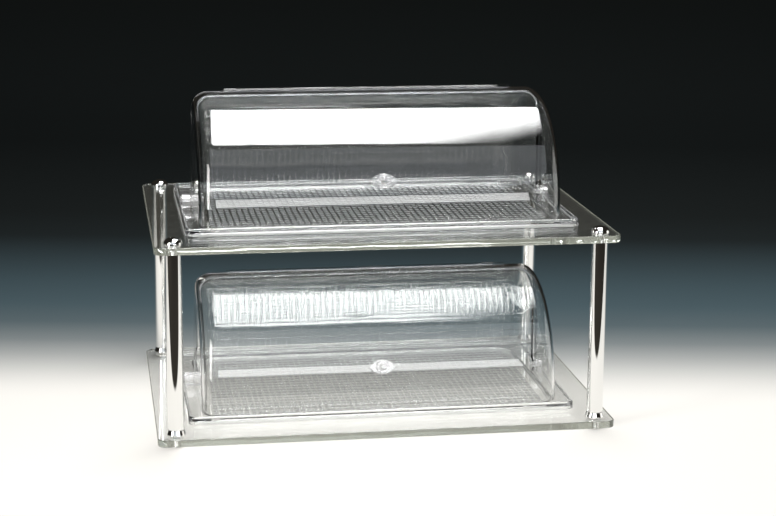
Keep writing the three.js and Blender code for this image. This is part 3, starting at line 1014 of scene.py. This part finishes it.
# In front of the stand the sheet is painted the room's dark: painted shade that the posts mirror as
# their black stripe.
front_shade_edge = -0.513, -0.506
room_dark_and_front_shade = 0.020, 0.018, 0.015
sheet_white = 0.61, 0.595, 0.565
# Slate and black are partly the paper's tone and partly painted shade; far back the black is
# lifted, which is painted light.
slate_and_painted_shade = 0.042, 0.065, 0.075
black_and_painted_shade = 0.010, 0.012, 0.012
white_until, white_fade_into_painted_shade = -0.05, 0.24
slate_until, black_from, painted_light_lift_from = 0.55, 1.05, 2.2
tone_stops = 28


def sheet_tone_painted_shade_and_light(depth):
    """The paper's tone at a depth, with painted shade and painted light in it: white that fades as
    exp(-(depth / fade)^2), partly the paper's grade and partly painted shade, and under it slate
    that turns black in a straight line. Far back, where the lights hardly reach, the black is
    lifted by the square of the depth, which is painted light."""
    white_left = math.exp(-(max(depth - white_until, 0.0) / white_fade_into_painted_shade) ** 2)
    slate_left = np.interp(depth, [slate_until, black_from], [1.0, 0.0])
    black = np.array(black_and_painted_shade) * max(depth / painted_light_lift_from, 1.0) ** 2
    under = slate_left * np.array(slate_and_painted_shade) + (1 - slate_left) * black
    return white_left * np.array(sheet_white) + (1 - white_left) * under


def sheet_with_painted_shade_and_light():
    """Dull paper whose tone, with its painted shade and painted light, is a ramp over the depth
    behind the stand, square to the view. Its stops lie at the cubes of even steps, so they are
    close together where the tone is steep."""
    finish = Finish("graded_sheet_painted_shade_and_light")
    hung = finish.add("ShaderNodeMapping", None, {
        "Vector": finish.place(), "Rotation": (0.0, 0.0, -view_azimuth)})
    length = sheet_far - sheet_near
    share = (finish.part_of(hung, "Y") - sheet_near) * (1 / length)
    depths = white_until + np.linspace(0, 1, tone_stops) ** 3 * (sheet_far - white_until)
    # The first stop paints the sheet dark in front: painted shade.
    tones = [(front_shade_edge[0], room_dark_and_front_shade), (front_shade_edge[1], sheet_white)]
    tones += [(depth, sheet_tone_painted_shade_and_light(depth)) for depth in depths]
    grade = finish.add("ShaderNodeValToRGB", None, {0: share}, stops=[
        ((depth - sheet_near) / length, tone) for depth, tone in tones])
    return finish.surface(finish.add("ShaderNodeBsdfPrincipled", None, {
        "Base Color": grade, "Roughness": 0.9, "Specular IOR Level": 0.0}))


floor_half = 14.0
floor_mesh = bpy.data.meshes.new("floor")
floor_mesh.from_pydata([
    (-floor_half, -floor_half, 0), (floor_half, -floor_half, 0),
    (floor_half, floor_half, 0), (-floor_half, floor_half, 0)], [], [(0, 1, 2, 3)])
floor_mesh.materials.append(sheet_with_painted_shade_and_light())
floor = bpy.data.objects.new("floor", floor_mesh)
scene.collection.objects.link(floor)
print("slate of the sheet:", np.round(sheet_tone_painted_shade_and_light(slate_until), 3).tolist(),
      "floor side in m:", 2 * floor_half)

# %% Lights
def bank(name, place, aim, width, height, radiance, colour=(1, 1, 1), turn=0.0):
    """A flat soft light; its power follows from the radiance that its face should show."""
    lamp = bpy.data.lights.new(name, "AREA")
    lamp.shape, lamp.size, lamp.size_y = "RECTANGLE", width, height
    lamp.energy = radiance * math.pi * width * height
    lamp.color = colour
    holder = bpy.data.objects.new(name, lamp)
    scene.collection.objects.link(holder)
    facing = (Vector(aim) - Vector(place)).to_track_quat("-Z", "Y").to_matrix().to_4x4()
    holder.matrix_world = (
        Matrix.Translation(Vector(place)) @ facing @ Matrix.Rotation(turn, 4, "Z"))
    holder.visible_camera = False
    print(name, "shines towards", [round(-v, 2) for v in holder.matrix_world.col[2][:3]])
    return lamp


def soften_end(lamp, full_until):
    """Lets a bank's face fade along its length, from full at a share of it to dark at its end."""
    lamp.use_nodes = True
    nodes, links = lamp.node_tree.nodes, lamp.node_tree.links
    place_on_face = nodes.new("ShaderNodeNewGeometry")
    split = nodes.new("ShaderNodeSeparateXYZ")
    fade = nodes.new("ShaderNodeMapRange")
    fade.interpolation_type = "SMOOTHSTEP"
    fade.inputs["From Min"].default_value, fade.inputs["From Max"].default_value = 1.0, full_until
    links.new(place_on_face.outputs["Parametric"], split.inputs[0])
    links.new(split.outputs["X"], fade.inputs["Value"])
    links.new(fade.outputs["Result"], nodes["Emission"].inputs["Strength"])


overhead = bank(
    "overhead_bank", place=(0.32, 0.0, 2.6), aim=(0.32, 0.0, 0.0), width=1.3, height=2.03,
    radiance=15.0, turn=math.radians(-13))
soften_end(overhead, 0.72)
bank("left_front_card", place=(-1.35, -0.95, 0.75), aim=(-0.1, 0.0, 0.25), width=0.45,
     height=1.1, radiance=9.0, colour=(1.0, 0.985, 0.96))
bank("right_card", place=(1.7, -0.2, 0.5), aim=(0.0, 0.0, 0.2), width=1.0, height=0.9,
     radiance=1.2, colour=(1.0, 0.98, 0.94))
bank("front_fill", place=(-0.5, -3.0, 2.6), aim=(0.0, 0.0, 0.3), width=3.6, height=3.8,
     radiance=0.8, colour=(0.93, 0.98, 1.04))
bank("front_strip", place=(0.12, -1.12, 0.405), aim=(0.12, 0.0, 0.38), width=0.62,
     height=0.15, radiance=5.0)

# %% The room
world = bpy.data.worlds.new("dark_room")
world.use_nodes = True
room = world.node_tree.nodes["Background"].inputs
room["Color"].default_value, room["Strength"].default_value = (*room_dark_and_front_shade, 1), 1.0
scene.world = world
scene.view_settings.view_transform = "Standard"
scene.cycles.max_bounces = 32
scene.cycles.transmission_bounces = 32
scene.cycles.glossy_bounces = 12
scene.cycles.transparent_max_bounces = 16
scene.cycles.sample_clamp_indirect = 0.0
